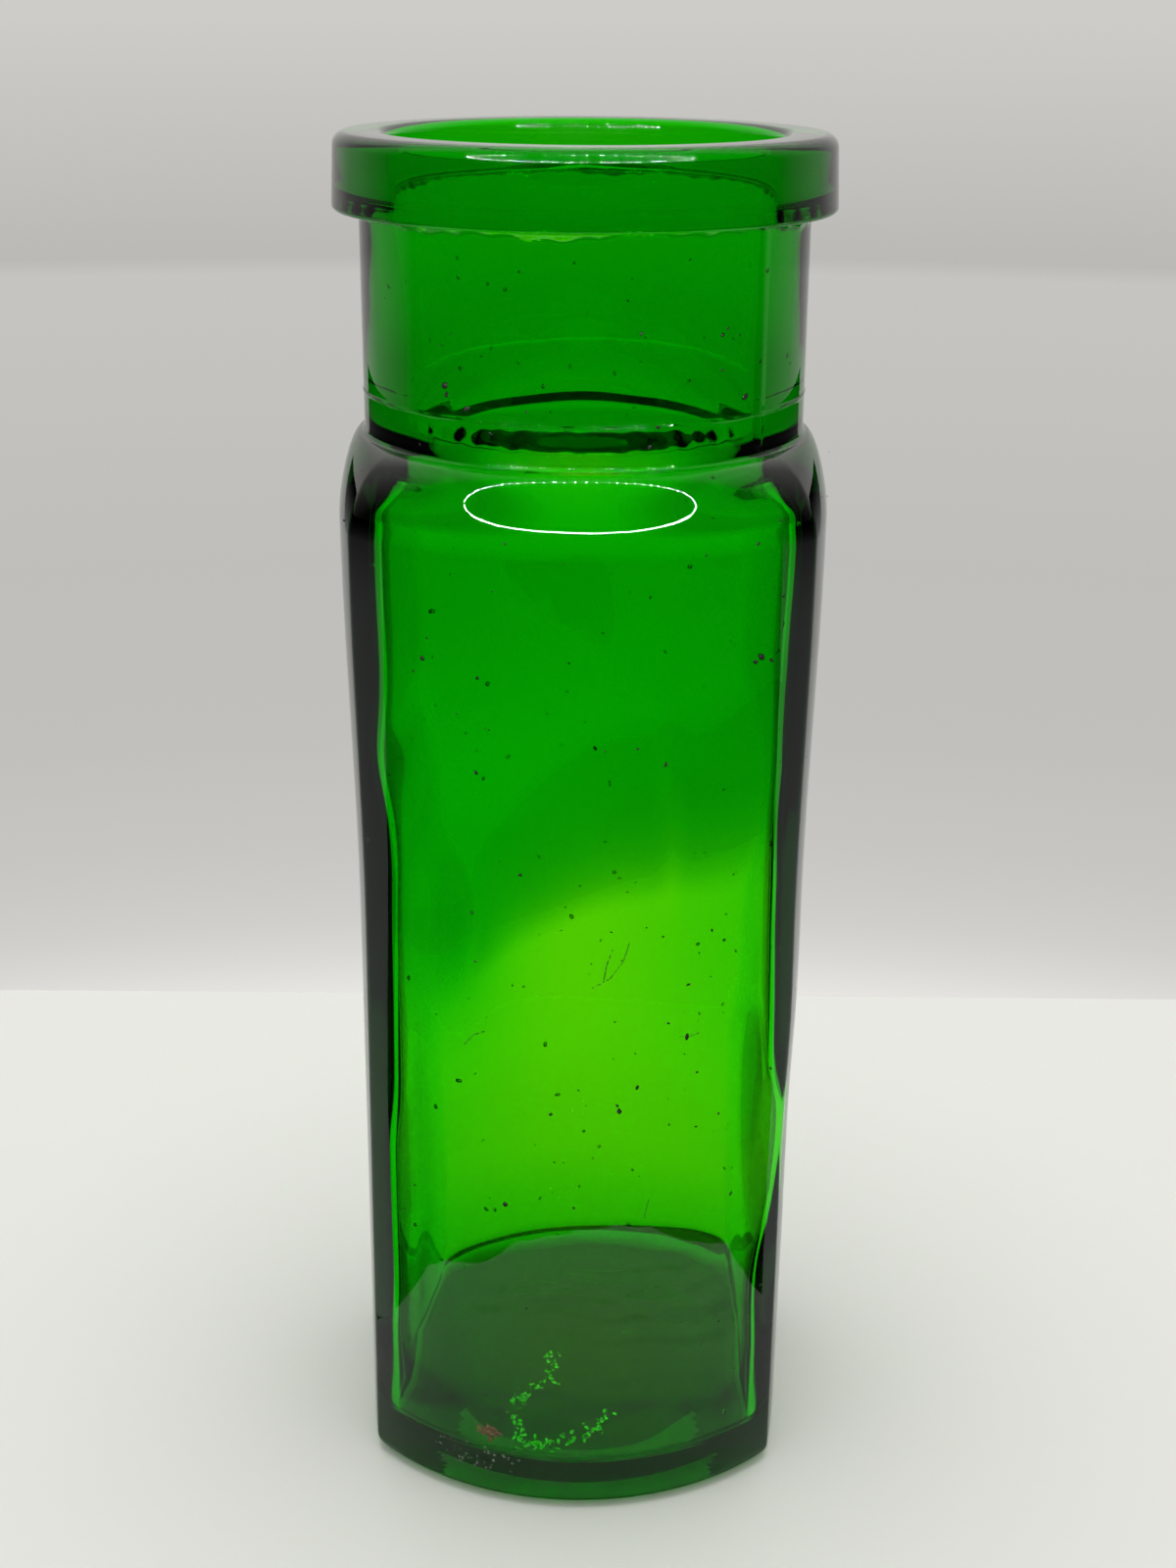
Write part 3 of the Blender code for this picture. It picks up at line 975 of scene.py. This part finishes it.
def add_residue():
    """Pale grains of dried residue low on the outside, at the front left."""
    chance = random.Random(5)
    blobs = bmesh.new()
    for _ in range(RESIDUE_COUNT):
        x, z = chance.uniform(*RESIDUE_SIDE), chance.uniform(*RESIDUE_HEIGHT)
        add_grain(blobs, front_angle(x, z), z, chance.uniform(*RESIDUE_SIZES), RESIDUE_GRAIN, chance)
    add_piece("dried_residue", blobs, mottled("residue", *RESIDUE))


def add_fold():
    """A broken fold of glass on the floor of the hollow, whose sparkle is painted as a bright yellow-green,
    mostly matte colour.
    """
    chance = random.Random(13)
    blobs = bmesh.new()
    upright = Vector((0.0, 0.0, 1.0))
    edges = list(zip(FOLD_PATH, FOLD_PATH[1:]))
    for count in range(FOLD_BEADS):
        start, end = edges[int(count * len(edges) / FOLD_BEADS)]
        share = chance.random()
        x = start[0] + (end[0] - start[0]) * share + chance.gauss(0.0, FOLD_SCATTER)
        y = start[1] + (end[1] - start[1]) * share + chance.gauss(0.0, FOLD_SCATTER)
        edge = float(inner_reach(np.array(math.atan2(y, x)), np.array(FLOOR_HEIGHT)))
        size = chance.uniform(*FOLD_SIZES)
        base = FLOOR_HEIGHT + FLOOR_DOME * (1.0 - min(math.hypot(x, y) / edge, 1.0) ** 2)
        add_blob(blobs, Vector((x, y, base + size * 0.5)), upright, (size * FOLD_LENGTH, size, size), chance)
    glint_paint, shader = new_material("fold_glass_painted_glints")
    # Painted glints: bright yellow-green, mostly matte
    shader.inputs["Base Color"].default_value = FOLD_GLINT_COLOUR
    set_glass(shader, FOLD_CLEAR, FOLD_ROUGHNESS)
    rippled(glint_paint.node_tree, shader, *FOLD_RIPPLE)
    add_piece("floor_fold", blobs, glint_paint)


# Studio: the floor
FLOOR_BACK = 0.127
FLOOR_SIDE_FRONT = 0.09
FLOOR_HALF_WIDTH = 0.60
FLOOR_FRONT = -0.60
FLOOR_DROP = 0.0001
SHEET_GAP = 0.00001
FLOOR_NEAR_OUTLINE = (
    (-0.070, 0.060), (-0.058, -0.010), (-0.070, -0.046), (-0.066, -0.056), (-0.0365, -0.0885),
    (-0.018, -0.097), (0.0, -0.1015), (0.024, -0.100), (0.0455, -0.091), (0.066, -0.066),
    (0.076, -0.050), (0.062, -0.010), (0.074, 0.060),
)
FLOOR_COLOUR = (0.86, 0.855, 0.84, 1.0)
FLOOR_ROUGHNESS = 0.9

# Studio: the ring of small lamps
LAMP_CENTRE = (-0.005, -0.228, 0.235)
LAMP_RADIUS = 0.17
LAMP_COUNT = 160
LAMP_DOT_RADIUS = 0.0026
LAMP_DOT_RADIUS_NEAR = 0.0011
LAMP_FAR_SHARE = 0.60
LAMP_STRENGTH = 150.0

# Studio: the grey cards, whose front edge is a line of (y, z) points
CARD_DISTANCE = 0.060
CARD_FRONT_LINE = ((-0.0325, 0.140), (-0.0228, 0.040), (-0.0240, 0.0))
CARD_BACK = 0.050
CARD_HEIGHT = 0.140
CARD_FADE = 0.110
CARD_GREY_LOW = 0.52
CARD_GREY_HIGH = 0.30
CARD_TINT = (0.94, 1.0, 0.94, 1.0)


def add_sheet(name, outline, height, paper):
    """A flat sheet of the stage's paper."""
    mesh = bpy.data.meshes.new(name)
    mesh.from_pydata([(x, y, height) for x, y in outline], [], [tuple(range(len(outline)))])
    mesh.materials.append(paper)
    sheet = link_object(name, mesh)
    return sheet


def add_floor():
    """A pale floor, of which reflections show only the part behind the jar and close round it."""
    paper, shader = new_material("stage_paper")
    shader.inputs["Base Color"].default_value = FLOOR_COLOUR
    shader.inputs["Roughness"].default_value = FLOOR_ROUGHNESS
    shader.inputs["Specular IOR Level"].default_value = 0.0
    edge = FLOOR_HALF_WIDTH
    left = [(-edge, FLOOR_BACK), (-edge, FLOOR_SIDE_FRONT)]
    right = [(edge, FLOOR_SIDE_FRONT), (edge, FLOOR_BACK)]
    add_sheet("stage_floor", [*left, *FLOOR_NEAR_OUTLINE, *right], -FLOOR_DROP, paper)
    front = [(-edge, FLOOR_BACK), (-edge, FLOOR_FRONT), (edge, FLOOR_FRONT), (edge, FLOOR_BACK)]
    add_sheet("stage_floor_front", front, -FLOOR_DROP - SHEET_GAP, paper).visible_glossy = False


def add_lamp_dots():
    """A ring of small lamps in front of and above the jar, which shows only in reflections."""
    mesh = bpy.data.meshes.new("stage_lamp_dots")
    dots = bmesh.new()
    for count in range(LAMP_COUNT):
        turn = 2 * math.pi * count / LAMP_COUNT
        place = Vector(LAMP_CENTRE) + LAMP_RADIUS * Vector((math.cos(turn), math.sin(turn), 0.0))
        far = abs(turn_between(turn, FRONT)) < math.pi * LAMP_FAR_SHARE
        radius = LAMP_DOT_RADIUS if far else LAMP_DOT_RADIUS_NEAR
        bmesh.ops.create_icosphere(dots, subdivisions=2, radius=radius, matrix=Matrix.Translation(place))
    dots.to_mesh(mesh)
    dots.free()
    material, glow = glowing("stage_lamp")
    glow.inputs["Strength"].default_value = LAMP_STRENGTH
    mesh.materials.append(material)
    ring = link_object("stage_lamp_dots", mesh)
    ring.visible_camera = False
    ring.visible_diffuse = False
    ring.visible_shadow = False


def card_paper():
    """Grey that glows a little less with the height and fades out near the top."""
    paper, glow = glowing("stage_card")
    tree = paper.node_tree
    split = tree.nodes.new("ShaderNodeSeparateXYZ")
    coordinates = tree.nodes.new("ShaderNodeTexCoord")
    tree.links.new(coordinates.outputs["Object"], split.inputs["Vector"])
    height = split.outputs["Z"]
    grey = fade(tree, height, 0.0, CARD_HEIGHT, CARD_GREY_LOW, CARD_GREY_HIGH, "LINEAR")
    grey = maths(tree, "MULTIPLY", grey, fade(tree, height, CARD_FADE, CARD_HEIGHT, 1.0, 0.0))
    tree.links.new(grey, glow.inputs["Strength"])
    glow.inputs["Color"].default_value = CARD_TINT
    return paper


def add_side_cards():
    """Two grey cards beside the jar, which show only as the soft sheen on the corners of its body."""
    paper = card_paper()
    outline = CARD_FRONT_LINE + ((CARD_BACK, 0.0), (CARD_BACK, CARD_HEIGHT))
    for x, name in ((-CARD_DISTANCE, "stage_card_left"), (CARD_DISTANCE, "stage_card_right")):
        mesh = bpy.data.meshes.new(name)
        mesh.from_pydata([(x, y, z) for y, z in outline], [], [tuple(range(len(outline)))])
        mesh.materials.append(paper)
        card = link_object(name, mesh)
        card.visible_camera = False
        card.visible_diffuse = False
        card.visible_transmission = False
        card.visible_shadow = False


# Light tent: its brightness by how far up a view points, seen directly and through the glass
WALL = (
    (-1.000, 0.800), (-0.4365, 0.800), (-0.4285, 0.740), (-0.422, 0.700), (-0.4075, 0.631), (-0.392, 0.597),
    (-0.376, 0.571), (-0.325, 0.530), (-0.250, 0.520), (-0.124, 0.560), (-0.117, 0.490), (-0.0125, 0.612),
    (0.100, 0.640), (1.000, 0.640),
)
WALL_THROUGH_GLASS = (
    (-1.000, 0.800), (-0.375, 0.800), (-0.325, 0.740), (-0.275, 0.640), (-0.220, 0.570), (-0.124, 0.560),
    (-0.0125, 0.600), (1.000, 0.630),
)
WALL_TINT = (1.0, 0.990, 0.950, 1.0)
WHITE = (1.0, 1.0, 1.0, 1.0)

# Light tent: how much of it reflections show, from the front to the back, with the ceiling counted as back
OPENING = (
    (-1.00, 0.01), (0.10, 0.02), (0.28, 0.20), (0.44, 0.33), (0.65, 0.42), (1.00, 1.00),
)
CEILING_SHARE = 0.35
INSIDE_EDGE = -0.60
INSIDE_END = 0.20

# Light tent: how reflections brighten or dim it towards the sides and the ceiling
SIDES_FROM = 0.30
SIDES_TO = 0.80
SIDE_GAIN = 1.3
INSIDE_SIDES_TO = 0.75
INSIDE_SIDE_SHARE = 0.62
CEILING_FROM = 0.25
CEILING_TO = 0.70
CEILING_GAIN = 1.8

# Soft lamp above the jar
SOFT_LAMP_SIZE = 0.5
SOFT_LAMP_POWER = 2.2
SOFT_LAMP_HEIGHT = 0.75


def add_soft_lamp():
    """A broad soft lamp straight above the jar, which lights the floor and shows in nothing."""
    light = bpy.data.lights.new("soft_top", "AREA")
    light.shape = "DISK"
    light.size = SOFT_LAMP_SIZE
    light.energy = SOFT_LAMP_POWER
    lamp = link_object("soft_top", light)
    lamp.location = (0.0, 0.0, SOFT_LAMP_HEIGHT)
    lamp.visible_camera = False
    lamp.visible_glossy = False
    lamp.visible_transmission = False


def add_world():
    """A pale tent, which is open and dark towards the front for reflections alone."""
    world = bpy.data.worlds.new("pale_tent")
    bpy.context.scene.world = world
    world.use_nodes = True
    tree = world.node_tree
    nodes, links = tree.nodes, tree.links
    background = nodes["Background"]
    coordinates = nodes.new("ShaderNodeTexCoord")
    split = nodes.new("ShaderNodeSeparateXYZ")
    links.new(coordinates.outputs["Generated"], split.inputs["Vector"])
    x, y, z = split.outputs
    path = nodes.new("ShaderNodeLightPath")

    sideways = maths(tree, "ABSOLUTE", x)
    rearward = maths(tree, "MULTIPLY_ADD", maths(tree, "MAXIMUM", z, 0.0), CEILING_SHARE, y)
    outside = curve(tree, rearward, OPENING)
    inside = fade(tree, rearward, INSIDE_EDGE, INSIDE_END)
    inside_sides = fade(tree, sideways, SIDES_FROM, INSIDE_SIDES_TO, 1.0, INSIDE_SIDE_SHARE)
    inside = maths(tree, "MULTIPLY", inside, inside_sides)
    mirrored = maths(tree, "GREATER_THAN", path.outputs["Glossy Depth"], 0.5)
    entered = maths(tree, "GREATER_THAN", path.outputs["Transmission Depth"], 0.5)
    seen = mixed(tree, entered, outside, inside)
    gain = fade(tree, sideways, SIDES_FROM, SIDES_TO, 1.0, SIDE_GAIN)
    gain = maths(tree, "MULTIPLY", gain, fade(tree, z, CEILING_FROM, CEILING_TO, 1.0, CEILING_GAIN))
    shade = mixed(tree, mirrored, WHITE, scaled(tree, seen, gain))
    wall = mixed(tree, entered, curve(tree, z, WALL), curve(tree, z, WALL_THROUGH_GLASS))
    colour = scaled(tree, wall, WALL_TINT)
    links.new(scaled(tree, colour, shade), background.inputs["Color"])


# Camera, from a fit to the rim, neck and base outlines
CAMERA_PLACE = (0.00164, -0.27198, 0.19527)
CAMERA_PITCH = math.radians(20.51)
CAMERA_ROLL = math.radians(0.39)
CAMERA_YAW = math.radians(-0.17)
FOCAL_PIXELS = 2200.0
PICTURE_HEIGHT = 1600.0
SENSOR_WIDTH = 36.0
CLIP_START = 0.01


def add_camera():
    """The camera at the photograph's viewing angle."""
    forward = Vector((math.sin(CAMERA_YAW) * math.cos(CAMERA_PITCH),
                      math.cos(CAMERA_YAW) * math.cos(CAMERA_PITCH), -math.sin(CAMERA_PITCH)))
    level_right = Vector((math.cos(CAMERA_YAW), -math.sin(CAMERA_YAW), 0.0))
    level_up = level_right.cross(forward)
    right = math.cos(CAMERA_ROLL) * level_right + math.sin(CAMERA_ROLL) * level_up
    up = math.cos(CAMERA_ROLL) * level_up - math.sin(CAMERA_ROLL) * level_right
    data = bpy.data.cameras.new("camera")
    data.sensor_fit = "AUTO"
    data.sensor_width = SENSOR_WIDTH
    data.lens = FOCAL_PIXELS * SENSOR_WIDTH / PICTURE_HEIGHT
    data.clip_start = CLIP_START
    camera = link_object("camera", data)
    turned = Matrix((right, up, -forward)).transposed().to_4x4()
    camera.matrix_world = Matrix.Translation(CAMERA_PLACE) @ turned
    bpy.context.scene.camera = camera


add_vessel()
add_pits()
add_seeds()
add_rust()
add_residue()
add_fold()
add_floor()
add_lamp_dots()
add_side_cards()
add_soft_lamp()
add_world()
add_camera()

# Enough bounces for light to pass both walls of the hollow, with the brightest sparks held down
GLASS_BOUNCES = 24
GLOSSY_BOUNCES = 12
BRIGHTEST_BOUNCED = 8.0

scene = bpy.context.scene
scene.view_settings.view_transform = "Standard"
scene.cycles.max_bounces = GLASS_BOUNCES
scene.cycles.transmission_bounces = GLASS_BOUNCES
scene.cycles.glossy_bounces = GLOSSY_BOUNCES
scene.cycles.use_denoising = True
scene.cycles.sample_clamp_indirect = BRIGHTEST_BOUNCED
